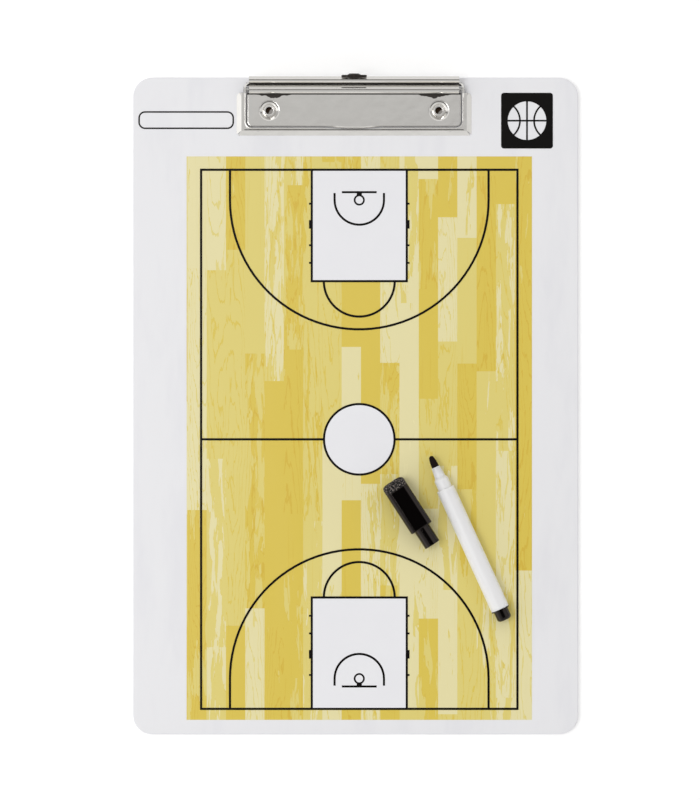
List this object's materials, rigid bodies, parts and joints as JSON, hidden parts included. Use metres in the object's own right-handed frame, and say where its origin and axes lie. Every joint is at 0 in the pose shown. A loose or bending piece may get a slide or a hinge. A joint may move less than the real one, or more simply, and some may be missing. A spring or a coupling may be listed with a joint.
{
  "type": "tactics board",
  "caption": "Coach's clipboard with a printed basketball court on a white panel, a sprung metal clip with a hanging eyelet, and a small dry-erase pen lying beside its eraser cap.",
  "frame": {"origin": "centre of the panel's flat back face", "axes": "+X to the right, +Y along the board towards the clip, +Z out of the writing face"},
  "size_m": [0.24, 0.3549, 0.0199],
  "materials": {
    "panel_white": "satin white plastic sheet",
    "film_white": "smooth dry-erase film",
    "print_wood": "printed wood grain under the film's gloss",
    "print_white": "printed white under the film's gloss",
    "print_black": "printed black under the film's gloss",
    "nickel": "bright nickel plate",
    "steel": "drawn wire",
    "eyelet_dark": "dark brown moulded plastic",
    "pen_white": "glossy white",
    "nib_black": "ink-soaked fibre",
    "ink_fibre": "ink-soaked fibre",
    "pen_black": "glossy black",
    "felt_grey": "pressed wool felt"
  },
  "bodies": {
    "board": {"board_panel": "panel_white", "writing_film": "film_white", "court_field_print": "print_wood", "court_white_print": "print_white", "court_line_print": "print_black", "label_frame_print": "print_black", "corner_badge_print": "print_black", "clip_base": "nickel", "hinge_pin": "steel", "rivet_left": "nickel", "rivet_right": "nickel", "torsion_spring_left": "steel", "torsion_spring_right": "steel"},
    "jaw": {"clip_jaw": "nickel", "hanging_eyelet": "eyelet_dark"},
    "pen": {"pen_barrel": "pen_white", "pen_nozzle": "pen_white", "pen_nib": "nib_black", "pen_ink_reservoir": "ink_fibre", "pen_end_plug": "pen_black"},
    "cap": {"cap_shell": "pen_black", "cap_eraser_felt": "felt_grey"}
  },
  "joints": [
    {"name": "jaw_hinge", "type": "hinge", "parent": "board", "child": "jaw", "pos_m": [-0.0009, 0.1704, 0.00585], "axis": [-1, 0, 0], "range_deg": [0, 25], "stiffness_Nm_per_rad": 0.12, "springref_deg": -85.94, "deforming": ["torsion_spring_left", "torsion_spring_right"]},
    {"name": "pen_lift", "type": "slide", "parent": "board", "child": "pen", "axis": [0, 0, 1], "range_m": [0, 0.08]},
    {"name": "cap_lift", "type": "slide", "parent": "board", "child": "cap", "axis": [0, 0, 1], "range_m": [0, 0.08]}
  ]
}
